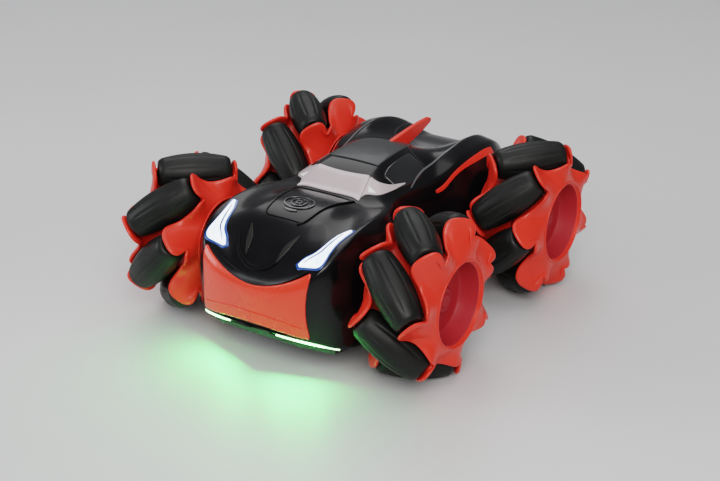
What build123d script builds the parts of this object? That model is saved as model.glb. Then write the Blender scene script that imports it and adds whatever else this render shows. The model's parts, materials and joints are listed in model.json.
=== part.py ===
from build123d import *
import os
from math import atan2, cos, pi, radians, sin, sqrt, tan

# Radio controlled stunt car on four mecanum wheels. Millimetres. The nose points to -Y, the car's
# left side is +X and +Z is up. The origin is on the ground, midway between the four axles.

# ---- driving dimensions ----
WHEEL_R = 45.0          # rolling radius
AXLE_Z = WHEEL_R        # axle height
AXLE_Y = 59.7           # half the wheelbase
TRACK_X = 74.7          # half the track, to the middle of each wheel
ROLLERS = 7             # rollers in each wheel
ROLLER_TILT = 45.0      # angle between a roller and the axle
ROLLER_ORBIT = 34.5     # from the axle to the middle of a roller
ROLLER_HALF = 20.0      # half the length of a roller
PIN_R = 1.5             # journals moulded on the roller's ends
RUN_GAP = 0.05          # radial gap of every running fit
GROUND_GAP = 14.0       # underside of the tub above the ground
NOSE_Y = 108.2          # from the middle to the face of the bumper, and to the tail
SEAM_Z = 38.0           # where the shell sits on the tub
WALL = 2.2              # moulded wall thickness

# ---- wheel hub ----
DRUM_R = 23.2           # hub drum between the rollers
HUB_HALF = 21.0         # half the width of the hub
CUP_R = 21.7            # mouth of the cup on each face
CUP_FLOOR = 9.0         # floor of the cup, from the wheel's middle
PETAL_R = 7.0           # rounded end of a petal
PETAL_THICK = 3.0
PETAL_REACH = 16.0      # from the roller's axis in to the drum
PETAL_START = ROLLER_HALF + 0.5
PETAL_TRIM_R = 43.6     # petals stay inside the rolling circle
ROLLER_ROUNDING = 1.6
HUB_BOSS_R = 6.0        # boss round the shaft
HUB_BOSS_END = 12.0     # end of that boss, from the wheel's middle
HUB_RIM_R = 27.0        # flared rim at each face
CUP_FLOOR_R = 18.5
HOLLOW_R = 20.9         # hollow of the drum behind the cup's floor
HOLLOW_END = 7.0
WHEEL_SCREW_HEAD = (10.0, 11.6)     # from the wheel's middle
WHEEL_SCREW_SLOT = 11.0             # bottom of the cross slot in its head
WHEEL_SCREW_START = 1.5

# ---- gear train ----
GEAR_MODULE = 0.6
GEAR_TEETH = 36
PINION_TEETH = 12
PRESSURE_ANGLE = 25.0
ADDENDUM = 0.8          # in modules
DEDENDUM = 1.05         # in modules
BACKLASH = 0.1
CENTRES = GEAR_MODULE * (GEAR_TEETH + PINION_TEETH) / 2
MOTOR_Y = AXLE_Y - CENTRES
GEAR_X = (35.5, 39.5)   # across the face of the big gear
PINION_X = (35.0, 40.0)
SHAFT_R = 2.0
SHAFT_START = 31.8
SHAFT_END = TRACK_X + 6.0
PINION_SHAFT_R = 1.0
PINION_SHAFT_X = (24.0, 42.0)
MOTOR_R = 7.5
MOTOR_X = (6.0, 31.0)
MOTOR_NOSE_R = 2.5
COLLAR_R = 3.4          # collar that keeps the big gear off the cover
CRADLE_X = (12.0, 26.0)
CRADLE_HALF = 5.0       # half the thickness of a motor's rib

# ---- gearbox housings ----
HOUSING_WALL_X = (31.0, 33.0)
CHAMBER_OUT = 41.0
COVER_OUT = 43.0
BOSS_R = 4.5
BOSS_END = 49.5
CHAMBER_Y = (MOTOR_Y - 5.4, AXLE_Y + 12.2)
CHAMBER_Z = (AXLE_Z - 12.0, AXLE_Z + 12.0)
HOUSING_SKIN = 1.4
FLOOR_TOP = GROUND_GAP + 2.0        # height that ribs and walls start from, inside the floor

# ---- battery door, switch, screws, jack ----
DOOR_HALF = 17.0
DOOR_START = -26.0
HINGE_Y = 27.0
HINGE_Z = GROUND_GAP + 1.4
HINGE_R = 1.4
TRUNNION_R = 0.8
DOOR_GAP = 0.3
HINGE_BLOCK = 3.2       # width of the block beside each trunnion
SWITCH_Y = 78.0
SWITCH_TRAVEL = 3.0
KNOB_HALF = (2.0, 2.5)
FLANGE_HALF = (4.0, 4.5)
FLANGE_Z = (16.6, 18.0)
SCREW_SPOTS = ((28.0, -86.0), (24.0, 0.0), (28.0, 89.0))
SCREW_HEAD_R = 2.6
SCREW_SHANK_R = 1.2
SCREW_END = SEAM_Z + 7.0
TUB_POST_R = 3.6
SHELL_POST_R = 3.2
CROSS_SLOT = (1.8, 0.4)     # half length and half width of a screw's slot
JACK_X = 16.0
JACK_Z = 29.0
JACK_R = 1.75
JACK_DEPTH = 9.0
JACK_BLOCK = 4.0        # half the width of the block round the jack

# ---- battery and circuit board ----
BATTERY_HALF = 15.0
BATTERY_Y = (-24.0, 20.0)
BATTERY_Z = (GROUND_GAP + 2.6, 31.0)
BOARD_HALF = (20.0, 26.0)
BOARD_Z = 40.0
BOARD_THICK = 1.6
LEDGE_X = (17.5, 21.0)

# ---- light bars, fin and bumper ----
GLOW_BAR_Z = (21.5, 24.5)
FIN_HALF = 1.6
BUMPER_BOW = 1.6        # how far the bumper's ends fall back

# ---- body sections: station y, then (x, z) of sill, belt, shoulder, valley and crown edge ----
SHELL_STATIONS = (
    (-101.0, (30.0, SEAM_Z), (34.0, 48.0), (36.0, 62.0), (30.0, 62.5), (22.0, 59.5)),
    (-92.0, (44.0, SEAM_Z), (46.5, 50.0), (39.0, 68.0), (32.0, 68.5), (21.0, 66.5)),
    (-72.0, (47.0, SEAM_Z), (49.0, 55.0), (40.5, 75.5), (32.0, 75.0), (18.5, 79.0)),
    (-52.0, (47.0, SEAM_Z), (49.0, 56.0), (40.0, 76.5), (30.0, 75.0), (17.5, 79.5)),
    (-36.0, (46.5, SEAM_Z), (47.5, 56.0), (37.0, 74.0), (27.0, 74.5), (20.0, 75.6)),
    (-20.0, (34.0, SEAM_Z), (36.0, 52.0), (32.0, 73.0), (25.0, 79.0), (16.4, 83.8)),
    (-8.0, (33.0, SEAM_Z), (35.0, 52.0), (32.0, 73.0), (24.0, 81.5), (15.4, 86.4)),
    (8.0, (33.0, SEAM_Z), (35.0, 52.0), (33.0, 71.0), (25.0, 79.5), (15.0, 88.0)),
    (22.0, (36.0, SEAM_Z), (38.5, 54.0), (36.0, 71.5), (28.0, 77.0), (14.0, 86.0)),
    (36.0, (46.5, SEAM_Z), (47.5, 57.0), (38.5, 77.5), (30.0, 80.0), (14.0, 82.0)),
    (54.0, (46.8, SEAM_Z), (48.5, 58.0), (39.5, 79.5), (31.0, 82.5), (14.0, 75.5)),
    (72.0, (47.0, SEAM_Z), (49.0, 58.0), (39.5, 79.0), (30.0, 81.5), (14.0, 71.0)),
    (88.0, (45.0, SEAM_Z), (47.5, 54.0), (37.0, 74.0), (28.0, 75.5), (14.0, 68.0)),
    (100.0, (40.0, SEAM_Z), (43.0, 50.0), (33.0, 66.0), (25.0, 66.5), (14.0, 64.0)),
    (NOSE_Y, (32.0, SEAM_Z), (35.0, 48.0), (30.0, 59.0), (23.0, 60.0), (14.0, 58.5)),
)
# tub sections: station y, floor z, half width of the floor, half width at the seam
TUB_STATIONS = (
    (-101.0, 19.0, 24.0, 30.0),
    (-92.0, GROUND_GAP + 1.0, 41.0, 44.0),
    (-72.0, GROUND_GAP, 46.0, 47.0),
    (-36.0, GROUND_GAP, 46.0, 46.5),
    (-20.0, GROUND_GAP, 30.0, 34.0),
    (-8.0, GROUND_GAP, 29.0, 33.0),
    (8.0, GROUND_GAP, 29.0, 33.0),
    (22.0, GROUND_GAP, 32.0, 36.0),
    (36.0, GROUND_GAP, 46.0, 46.5),
    (72.0, GROUND_GAP, 46.0, 47.0),
    (88.0, GROUND_GAP, 43.0, 45.0),
    (100.0, 17.0, 35.0, 40.0),
    (NOSE_Y, 22.0, 26.0, 32.0),
)

# each wheel: name, side of the car (+1 is left), end of the car (-1 is the nose), angle of the first
# roller from straight ahead, and the hand of its rollers
WHEELS = (
    ("fl", 1, -1, 26.7, -1),
    ("fr", -1, -1, 42.5, 1),
    ("rl", 1, 1, 33.5, 1),
    ("rr", -1, 1, 26.8, -1),
)


# ---- helpers ----
def cylinder_x(radius, x0, x1, y, z):
    """Round bar along X from x0 to x1."""
    low, high = min(x0, x1), max(x0, x1)
    bar = Cylinder(radius, high - low, align=(Align.CENTER, Align.CENTER, Align.MIN))
    return Pos(low, y, z) * Rot(0, 90, 0) * bar


def cylinder_z(radius, x, y, z0, z1):
    """Upright round bar from z0 to z1."""
    bar = Cylinder(radius, z1 - z0, align=(Align.CENTER, Align.CENTER, Align.MIN))
    return Pos(x, y, z0) * bar


def block(x0, x1, y0, y1, z0, z1):
    """Rectangular block between two corners."""
    size = (abs(x1 - x0), abs(y1 - y0), abs(z1 - z0))
    low = (min(x0, x1), min(y0, y1), min(z0, z1))
    return Pos(*low) * Box(*size, align=(Align.MIN, Align.MIN, Align.MIN))


def prism_z(points, z0, z1):
    """Upright prism on a plan outline."""
    outline = Polyline(*points, close=True)
    return Pos(0, 0, z0) * extrude(make_face(outline), z1 - z0)


def prism_x(points, x0, x1):
    """Prism along X on a (y, z) outline."""
    corners = [Vector(x0, y, z) for y, z in points]
    return Solid.extrude(Face(Wire.make_polygon(corners, close=True)), Vector(x1 - x0, 0, 0))


def prism_y(points, y0, y1):
    """Prism along Y on an (x, z) outline."""
    corners = [Vector(x, y0, z) for x, z in points]
    return Solid.extrude(Face(Wire.make_polygon(corners, close=True)), Vector(0, y1 - y0, 0))


def mirrored(half):
    """Closed section outline from the points of its left half, listed from the bottom up."""
    return list(half) + [(-x, z) for x, z in reversed(half)]


def loft_sections(sections):
    """Straight-sided loft through (y, half outline) sections."""
    wires = []
    for y, half in sections:
        corners = [Vector(x, y, z) for x, z in mirrored(half)]
        wires.append(Wire.make_polygon(corners, close=True))
    return Solid.make_loft(wires, ruled=True)


def both_sides(shape):
    """The shape and its mirror image across the car's middle."""
    return shape + mirror(shape, about=Plane.YZ)


# ---- rollers ----
def envelope_radius(s):
    """Radius of a roller at s along its axis, so that its outer line lies on the rolling circle."""
    across = s * sin(radians(ROLLER_TILT))
    return WHEEL_R - sqrt(ROLLER_ORBIT ** 2 + across ** 2)


def roller_shape():
    """Barrel with rounded ends and a journal at each end, along Z."""
    end_r = envelope_radius(ROLLER_HALF)
    side = ThreePointArc((end_r, -ROLLER_HALF), (envelope_radius(0), 0), (end_r, ROLLER_HALF))
    back = Polyline((end_r, ROLLER_HALF), (0, ROLLER_HALF), (0, -ROLLER_HALF), (end_r, -ROLLER_HALF))
    barrel = revolve(Plane.XZ * make_face(side + back), Axis.Z)
    rims = [edge for edge in barrel.edges() if edge.geom_type == GeomType.CIRCLE]
    barrel = fillet([e for e in rims if abs(abs(e.center().Z) - ROLLER_HALF) < 0.01], ROLLER_ROUNDING)
    journal = Cylinder(PIN_R, 2 * (PETAL_START + PETAL_THICK - 0.8))
    return barrel + journal


def roller_planes(side, end, phase, hand):
    """One plane for each roller of a wheel: origin at its middle, Z along it, X away from the axle."""
    centre = Vector(side * TRACK_X, end * AXLE_Y, AXLE_Z)
    planes = []
    for index in range(ROLLERS):
        angle = radians(phase + 360.0 * index / ROLLERS)
        outward = Vector(0, -cos(angle), sin(angle))
        around = Vector(0, sin(angle), cos(angle))
        tilt = radians(ROLLER_TILT)
        axis = Vector(cos(tilt), 0, 0) + around * (hand * sin(tilt))
        planes.append(Plane(origin=centre + outward * ROLLER_ORBIT, x_dir=outward, z_dir=axis))
    return planes


# ---- hubs ----
def hub_outline():
    """(distance from the wheel's middle, radius) round the section of one hub half."""
    hollow = ((0, HUB_BOSS_R), (HOLLOW_END, HUB_BOSS_R), (HOLLOW_END, CUP_FLOOR_R),
              (HOLLOW_END - 2, HOLLOW_R), (0, HOLLOW_R))
    drum = ((0, DRUM_R), (6, DRUM_R), (12.5, 25.5), (HUB_HALF - 1, HUB_RIM_R), (HUB_HALF, HUB_RIM_R - 0.8))
    cup = ((HUB_HALF, CUP_R + 1), (HUB_HALF - 1, CUP_R), (CUP_FLOOR + 1.5, CUP_FLOOR_R + 1.7),
           (CUP_FLOOR, CUP_FLOOR_R), (CUP_FLOOR, HUB_BOSS_R + 0.5), (HUB_BOSS_END, HUB_BOSS_R))
    return ((0, 0),) + hollow + drum + cup + ((HUB_BOSS_END, 0),)


def petal(plane, end_sign):
    """Paddle that carries one end of a roller: a rounded tongue that runs in to the drum."""
    tongue = Circle(PETAL_R) + Pos(-PETAL_REACH / 2, 0) * Rectangle(PETAL_REACH, 2 * PETAL_R)
    start = PETAL_START if end_sign > 0 else -PETAL_START - PETAL_THICK
    return plane * (Pos(0, 0, start) * extrude(tongue, PETAL_THICK))


def journal_hole(plane, end_sign):
    """Blind hole in a petal for a roller's journal."""
    length = PETAL_THICK - 0.5
    hole = Cylinder(PIN_R + RUN_GAP, length, align=(Align.CENTER, Align.CENTER, Align.MIN))
    start = PETAL_START if end_sign > 0 else -PETAL_START - length
    return plane * (Pos(0, 0, start) * hole)


def hub_half(side, end, phase, hand, outer):
    """One half of a hub; outer is +1 for the half away from the car and -1 for the inner half."""
    facing = side * outer
    middle = Vector(side * TRACK_X, end * AXLE_Y, AXLE_Z)
    corners = [Vector(facing * x, r, 0) for x, r in hub_outline()]
    body = revolve(Face(Wire.make_polygon(corners, close=True)), Axis.X)
    body = Pos(*middle) * body
    planes = roller_planes(side, end, phase, hand)
    petals = Compound([petal(plane, facing) for plane in planes])
    petals = petals & cylinder_x(PETAL_TRIM_R, middle.X - HUB_HALF, middle.X + HUB_HALF, middle.Y, middle.Z)
    drum = cylinder_x(DRUM_R - 1, middle.X - HUB_HALF, middle.X + HUB_HALF, middle.Y, middle.Z)
    body = body + (petals - drum)
    body = body - Compound([journal_hole(plane, facing) for plane in planes])
    return body - hub_bores(side, middle, outer)


def hub_bores(side, middle, outer):
    """Shaft bore and, in the outer half, the hole and recess of the wheel screw."""
    x, y, z = middle
    past_boss = side * (HUB_BOSS_END + 1)
    if outer < 0:
        return cylinder_x(SHAFT_R, x - past_boss, x + side, y, z)
    bores = cylinder_x(SHAFT_R, x - side, side * SHAFT_END, y, z)
    bores = bores + cylinder_x(SCREW_SHANK_R, x, x + past_boss, y, z)
    return bores + cylinder_x(SCREW_HEAD_R + 0.4, x + side * WHEEL_SCREW_HEAD[0], x + past_boss, y, z)


# ---- gears ----
def tooth_half_angle(teeth, radius):
    """Half the angle that a tooth fills at a radius, on the involute flank."""
    pitch_r = GEAR_MODULE * teeth / 2
    base_r = pitch_r * cos(radians(PRESSURE_ANGLE))
    at_pitch = (pi / (2 * teeth)) - BACKLASH / (4 * pitch_r)
    involute_pitch = tan(radians(PRESSURE_ANGLE)) - radians(PRESSURE_ANGLE)
    if radius <= base_r:
        return at_pitch + involute_pitch
    roll = sqrt((radius / base_r) ** 2 - 1)
    return at_pitch + involute_pitch - (roll - atan2(roll, 1))


def gear_solid(teeth, first_tooth, x0, x1):
    """Spur gear along X, with the middle of its first tooth at an angle from +Y, in radians."""
    pitch_r = GEAR_MODULE * teeth / 2
    root_r = pitch_r - DEDENDUM * GEAR_MODULE
    tip_r = pitch_r + ADDENDUM * GEAR_MODULE
    base_r = pitch_r * cos(radians(PRESSURE_ANGLE))
    low = max(base_r, root_r)
    flank = [root_r] + [low + (tip_r - low) * step / 3 for step in range(4) if low > root_r or step]
    points = []
    for tooth in range(teeth):
        middle = first_tooth + 2 * pi * tooth / teeth
        for radius in flank:
            angle = middle - tooth_half_angle(teeth, radius)
            points.append((radius * cos(angle), radius * sin(angle)))
        for radius in reversed(flank):
            angle = middle + tooth_half_angle(teeth, radius)
            points.append((radius * cos(angle), radius * sin(angle)))
    return prism_x(points, x0, x1)


def drive_axle(side, end):
    """Output shaft with its gear, and the screw that holds the wheel on."""
    y, z = end * AXLE_Y, AXLE_Z
    gear = Pos(0, y, z) * gear_solid(GEAR_TEETH, 0.0, side * GEAR_X[0], side * GEAR_X[1])
    shaft = cylinder_x(SHAFT_R, side * SHAFT_START, side * SHAFT_END, y, z)
    collar = cylinder_x(COLLAR_R, side * (GEAR_X[1] - 0.5), side * (CHAMBER_OUT - 0.4), y, z)
    tapped = cylinder_x(SCREW_SHANK_R, side * (TRACK_X + 1), side * (SHAFT_END + 1), y, z)
    axle = gear + shaft + collar - tapped
    head_start, head_end = (side * (TRACK_X + x) for x in WHEEL_SCREW_HEAD)
    head = cylinder_x(SCREW_HEAD_R, head_start, head_end, y, z)
    shank = cylinder_x(SCREW_SHANK_R, side * (TRACK_X + WHEEL_SCREW_START), head_start, y, z)
    screw = head + shank
    long, narrow = CROSS_SLOT
    for half_y, half_z in ((long, narrow), (narrow, long)):
        slot_x = side * (TRACK_X + WHEEL_SCREW_SLOT)
        screw = screw - block(slot_x, slot_x + side, y - half_y, y + half_y, z - half_z, z + half_z)
    return Compound([axle, screw])


def motor_pinion(side, end):
    """Motor spindle with its small gear."""
    y, z = end * MOTOR_Y, AXLE_Z
    half_tooth = pi / PINION_TEETH
    teeth = Pos(0, y, z) * gear_solid(PINION_TEETH, half_tooth, side * PINION_X[0], side * PINION_X[1])
    spindle = cylinder_x(PINION_SHAFT_R, side * PINION_SHAFT_X[0], side * PINION_SHAFT_X[1], y, z)
    return teeth + spindle


def motor(side, end):
    """Can motor with its nose boss, spindle bore and rear terminals."""
    y, z = end * MOTOR_Y, AXLE_Z
    can = cylinder_x(MOTOR_R, side * MOTOR_X[0], side * MOTOR_X[1], y, z)
    nose = cylinder_x(MOTOR_NOSE_R, side * MOTOR_X[1], side * HOUSING_WALL_X[1], y, z)
    bore_start, bore_end = side * (PINION_SHAFT_X[0] - 0.5), side * (HOUSING_WALL_X[1] + 1)
    bore = cylinder_x(PINION_SHAFT_R + RUN_GAP, bore_start, bore_end, y, z)
    body = can + nose - bore
    back = side * MOTOR_X[0]
    for tab_z in (z - 4.0, z + 4.0):
        body = body + block(back - side * 2, back, y - 1, y + 1, tab_z - 0.4, tab_z + 0.4)
    return body


# ---- chassis tub ----
def tub_sections(inset):
    """Sections of the tub; an inset moves the walls in and the floor up."""
    sections = []
    last = len(TUB_STATIONS) - 1
    for index, (y, floor_z, floor_w, sill_w) in enumerate(TUB_STATIONS):
        if inset and index == 0:
            y = y + inset
        if inset and index == last:
            y = y - inset
        top = SEAM_Z + (1.0 if inset else 0.0)
        sections.append((y, ((floor_w - inset, floor_z + inset), (sill_w - inset, top))))
    return sections


def gearbox_housing(side, end):
    """Chamber for one gear pair, open on its outer face, on a wall that stands on the tub's floor."""
    y0, y1 = sorted((end * CHAMBER_Y[0], end * CHAMBER_Y[1]))
    z0, z1 = CHAMBER_Z
    skin = HOUSING_SKIN
    wall_x = (side * HOUSING_WALL_X[0], side * HOUSING_WALL_X[1])
    wall = block(*wall_x, y0 - skin, y1 + skin, FLOOR_TOP, z1 + skin)
    rim = block(wall_x[1], side * CHAMBER_OUT, y0 - skin, y1 + skin, z0 - skin, z1 + skin)
    chamber = block(wall_x[1], side * (CHAMBER_OUT + 1), y0, y1, z0, z1)
    return wall + (rim - chamber)


def motor_cradle(side, end):
    """Rib from the floor, which the motor's seat is cut from."""
    y = end * MOTOR_Y
    x0, x1 = (side * x for x in CRADLE_X)
    return block(x0, x1, y - CRADLE_HALF, y + CRADLE_HALF, FLOOR_TOP, AXLE_Z - 2)


def tub_holes():
    """Shaft and motor nose holes through the housing walls, and the motors' seats."""
    holes = []
    for _, side, end, _, _ in WHEELS:
        x0, x1 = side * (HOUSING_WALL_X[0] - 1), side * (HOUSING_WALL_X[1] + 0.5)
        holes.append(cylinder_x(SHAFT_R + RUN_GAP, x0, x1, end * AXLE_Y, AXLE_Z))
        holes.append(cylinder_x(MOTOR_NOSE_R, x0, x1, end * MOTOR_Y, AXLE_Z))
        holes.append(cylinder_x(MOTOR_R, side * MOTOR_X[0], side * MOTOR_X[1], end * MOTOR_Y, AXLE_Z))
    return Compound(holes)


def door_opening():
    """Space in the floor for the battery door, its barrel and its trunnions."""
    half = DOOR_HALF + DOOR_GAP
    end = HINGE_Y + HINGE_R + DOOR_GAP
    gap = block(-half, half, DOOR_START - DOOR_GAP, end, GROUND_GAP - 1, GROUND_GAP + 5)
    reach = half + HINGE_BLOCK - 0.2
    return gap + cylinder_x(TRUNNION_R + RUN_GAP, -reach, reach, HINGE_Y, HINGE_Z)


def switch_opening():
    """Slot in the floor for the power switch."""
    half_x, half_y = (half + DOOR_GAP for half in KNOB_HALF)
    end = SWITCH_Y + half_y + SWITCH_TRAVEL
    return block(-half_x, half_x, SWITCH_Y - half_y, end, GROUND_GAP - 1, GROUND_GAP + 3)


def chassis_tub():
    """Lower body: open tub, four gearbox housings, motor seats, posts, board ledges and jack."""
    tub = loft_sections(tub_sections(0)) - loft_sections(tub_sections(WALL))
    for _, side, end, _, _ in WHEELS:
        tub = tub + gearbox_housing(side, end) + motor_cradle(side, end)
    for x, y in SCREW_SPOTS:
        tub = tub + both_sides(cylinder_z(TUB_POST_R, x, y, GROUND_GAP + 1.5, SEAM_Z))
    for y in (-22.0, 22.0):
        tub = tub + both_sides(block(*LEDGE_X, y - 3, y + 3, GROUND_GAP + 1, BOARD_Z))
    half = DOOR_HALF + DOOR_GAP
    tub = tub + both_sides(block(half, half + HINGE_BLOCK, HINGE_Y - 2.4, HINGE_Y + 2.4, GROUND_GAP, 18))
    low_x, high_x = JACK_X - JACK_BLOCK, JACK_X + JACK_BLOCK
    tub = tub + block(low_x, high_x, NOSE_Y - 11, NOSE_Y - 1, JACK_Z - JACK_BLOCK, JACK_Z + JACK_BLOCK)
    tub = tub - tub_holes() - door_opening() - switch_opening()
    for x, y in SCREW_SPOTS:
        hole = cylinder_z(SCREW_SHANK_R, x, y, GROUND_GAP - 2, SEAM_Z + 1)
        head = cylinder_z(SCREW_HEAD_R + 0.3, x, y, GROUND_GAP - 2, GROUND_GAP + 3)
        tub = tub - both_sides(hole + head)
    jack = Cylinder(JACK_R, JACK_DEPTH, align=(Align.CENTER, Align.CENTER, Align.MIN))
    tub = tub - Pos(JACK_X, NOSE_Y, JACK_Z) * Rot(90, 0, 0) * jack
    return tub - underglow_bars()


def gearbox_covers():
    """Four plates that close the gear chambers, each with a bearing boss for the shaft."""
    covers = []
    for _, side, end, _, _ in WHEELS:
        y0, y1 = sorted((end * CHAMBER_Y[0], end * CHAMBER_Y[1]))
        z0, z1 = CHAMBER_Z
        skin = HOUSING_SKIN
        x0, x1 = side * CHAMBER_OUT, side * COVER_OUT
        plate = block(x0, x1, y0 - skin, y1 + skin, z0 - skin, z1 + skin)
        boss = cylinder_x(BOSS_R, x0, side * BOSS_END, end * AXLE_Y, AXLE_Z)
        bore = cylinder_x(SHAFT_R + RUN_GAP, x0 - side, side * (BOSS_END + 1), end * AXLE_Y, AXLE_Z)
        spindle = cylinder_x(PINION_SHAFT_R + RUN_GAP, x0 - side, x1 + side, end * MOTOR_Y, AXLE_Z)
        covers.append(plate + boss - bore - spindle)
    return Compound(covers)


# ---- upper body ----
def shell_outer():
    """The shell's outer form, filled."""
    return loft_sections([(row[0], row[1:]) for row in SHELL_STATIONS])


def shell_inner():
    """The hollow of the shell: every section drawn in by the wall."""
    sections = []
    last = len(SHELL_STATIONS) - 1
    for index, row in enumerate(SHELL_STATIONS):
        y = row[0] + (WALL if index == 0 else 0) - (WALL if index == last else 0)
        sill, belt, shoulder, valley, crown = row[1:]
        half = (
            (sill[0] - WALL, SEAM_Z - 1),
            (belt[0] - WALL, belt[1]),
            (shoulder[0] - WALL, shoulder[1] - WALL),
            (valley[0], valley[1] - WALL),
            (crown[0], crown[1] - WALL),
        )
        sections.append((y, half))
    return loft_sections(sections)


def glazing_plan():
    """Plan outlines of the windshield and of the left side window."""
    screen = ((-19.6, -35.5), (19.6, -35.5), (16.6, -20.6), (-16.6, -20.6))
    side = ((21.0, -35.0), (26.5, -30.0), (31.0, -7.5), (25.5, -8.5), (18.2, -20.6))
    return screen, side


def glazing_prisms():
    """Upright prisms that cut the windshield and both side windows from the shell."""
    screen, side = glazing_plan()
    return prism_z(screen, 60, 95) + both_sides(prism_z(side, 60, 95))


def roof_prism():
    """Upright prism that cuts the roof panel from the shell."""
    return prism_z(((-15.2, -10.5), (15.2, -10.5), (13.8, 22.4), (-13.8, 22.4)), 60, 95)


def headlight_prisms():
    """Dagger outlines that run back from the nose along the fender."""
    dagger = ((24.5, -99.4), (36.6, -98.6), (37.2, -86.0), (36.6, -71.4), (32.5, -84.0))
    return both_sides(prism_z(dagger, 56, 85))


def trim_prisms():
    """Thin stripes along the tops of the rear haunches."""
    rear = ((36.2, 20.0), (37.8, 20.0), (38.8, 36.0), (39.0, 80.0), (37.2, 80.0), (37.0, 36.0))
    return both_sides(prism_z(rear, 62, 90))


def shell_posts():
    """Screw posts under the shell, standing on the tub's posts."""
    posts = []
    for x, y in SCREW_SPOTS:
        for side in (-1, 1):
            posts.append(cylinder_z(SHELL_POST_R, side * x, y, SEAM_Z, 80))
    return Compound(posts)


def post_bores():
    """Pilot holes of the shell's screws."""
    bores = []
    for x, y in SCREW_SPOTS:
        for side in (-1, 1):
            bores.append(cylinder_z(SCREW_SHANK_R, side * x, y, SEAM_Z - 1, SCREW_END + 1))
    return Compound(bores)


def axle_passages():
    """Holes in the shell's sides for the bearing bosses."""
    holes = []
    for _, side, end, _, _ in WHEELS:
        holes.append(cylinder_x(BOSS_R + 0.3, side * 40, side * 55, end * AXLE_Y, AXLE_Z))
    return Compound(holes)


def front_bumper():
    """Broad U below and beside the mouth, with a bowed face."""
    outline = mirrored(((14.0, 26.8), (30.0, 27.6), (33.6, 31.0), (35.4, 50.0), (33.4, 62.6),
                        (28.5, 61.0), (24.0, 54.0), (13.0, 47.4)))
    back = SHELL_STATIONS[0][0]
    slab = prism_y(outline, -NOSE_Y - 1, back)
    corner_y = BUMPER_BOW - NOSE_Y
    bow = prism_z(((-37, back), (-35, corner_y), (-20, -NOSE_Y), (20, -NOSE_Y), (35, corner_y), (37, back)),
                  20, 70)
    return slab & bow


def roof_fin(outer):
    """Upright blade along the spine of the roof."""
    blade = prism_x(((26.0, 84.8), (50.0, 86.8), (68.0, 85.6), (77.0, 79.0), (60.0, 72.0), (28.0, 80.0)),
                    -FIN_HALF, FIN_HALF)
    return blade - outer


def underglow_bars():
    """Light bars let into the lower edge of the nose, one each side."""
    plan = ((6.0, -101.5), (24.0, -101.5), (40.0, -93.2), (39.0, -91.0), (23.4, -99.4), (6.0, -99.4))
    bar = prism_z(plan, *GLOW_BAR_Z)
    return both_sides(bar)


# ---- inside ----
def battery_pack():
    """Shrink-wrapped pair of cells with a lead block."""
    body = block(-BATTERY_HALF, BATTERY_HALF, *BATTERY_Y, *BATTERY_Z)
    body = fillet(body.edges().filter_by(Axis.Y), 4.0)
    return body + block(-6, 6, BATTERY_Y[1], BATTERY_Y[1] + 3, 20, 27)


def circuit_board():
    """Board with its chip, crystal, terminals and aerial spring, on the ledges."""
    half_x, half_y = BOARD_HALF
    top = BOARD_Z + BOARD_THICK
    board = block(-half_x, half_x, -half_y, half_y, BOARD_Z, top)
    chip = block(-6, 6, -8, 4, top, top + 1.6)
    crystal = block(10, 14, -14, -4, top, top + 3)
    board = board + chip + crystal
    for x in (-16, -11, 11, 16):
        board = board + block(x - 2, x + 2, half_y - 8, half_y - 3, top, top + 4.4)
    return board + cylinder_z(1.6, -15, -18, top, 58)


def battery_door():
    """Door with a hinge barrel, trunnions and a finger notch."""
    plate = block(-DOOR_HALF, DOOR_HALF, DOOR_START, HINGE_Y, GROUND_GAP, GROUND_GAP + 2)
    barrel = cylinder_x(HINGE_R, -DOOR_HALF, DOOR_HALF, HINGE_Y, HINGE_Z)
    trunnions = cylinder_x(TRUNNION_R, -DOOR_HALF - 2.5, DOOR_HALF + 2.5, HINGE_Y, HINGE_Z)
    notch = block(-5, 5, DOOR_START - 1, DOOR_START + 2.2, GROUND_GAP - 1, GROUND_GAP + 1.2)
    return plate + barrel + trunnions - notch


def power_switch():
    """Slide knob with a flange above the floor."""
    half_x, half_y = KNOB_HALF
    wide_x, wide_y = FLANGE_HALF
    knob = block(-half_x, half_x, SWITCH_Y - half_y, SWITCH_Y + half_y, GROUND_GAP + 0.4, FLANGE_Z[1])
    flange = block(-wide_x, wide_x, SWITCH_Y - wide_y, SWITCH_Y + wide_y, *FLANGE_Z)
    groove = block(-wide_x, wide_x, SWITCH_Y - 0.5, SWITCH_Y + 0.5, GROUND_GAP, GROUND_GAP + 1)
    return knob + flange - groove


def screws():
    """Self-tapping screws that hold the shell on the tub."""
    parts = []
    long, narrow = CROSS_SLOT
    for x, y in SCREW_SPOTS:
        head = cylinder_z(SCREW_HEAD_R, x, y, GROUND_GAP + 1.2, GROUND_GAP + 3)
        shank = cylinder_z(SCREW_SHANK_R, x, y, GROUND_GAP + 3, SCREW_END)
        screw = head + shank
        for half_x, half_y in ((long, narrow), (narrow, long)):
            slot = block(x - half_x, x + half_x, y - half_y, y + half_y, GROUND_GAP, GROUND_GAP + 1.9)
            screw = screw - slot
        parts += [screw, mirror(screw, about=Plane.YZ)]
    return Compound(parts)


def wheel_parts():
    """Rollers, hub halves, axle and pinion of every wheel, by node name."""
    made = {}
    roller = roller_shape()
    for name, side, end, phase, hand in WHEELS:
        for index, plane in enumerate(roller_planes(side, end, phase, hand)):
            made[f"roller_{name}_{index + 1}"] = plane * roller
        made[f"hub_outer_{name}"] = hub_half(side, end, phase, hand, 1)
        made[f"hub_inner_{name}"] = hub_half(side, end, phase, hand, -1)
        made[f"drive_axle_{name}"] = drive_axle(side, end)
        made[f"motor_pinion_{name}"] = motor_pinion(side, end)
    return made


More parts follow.
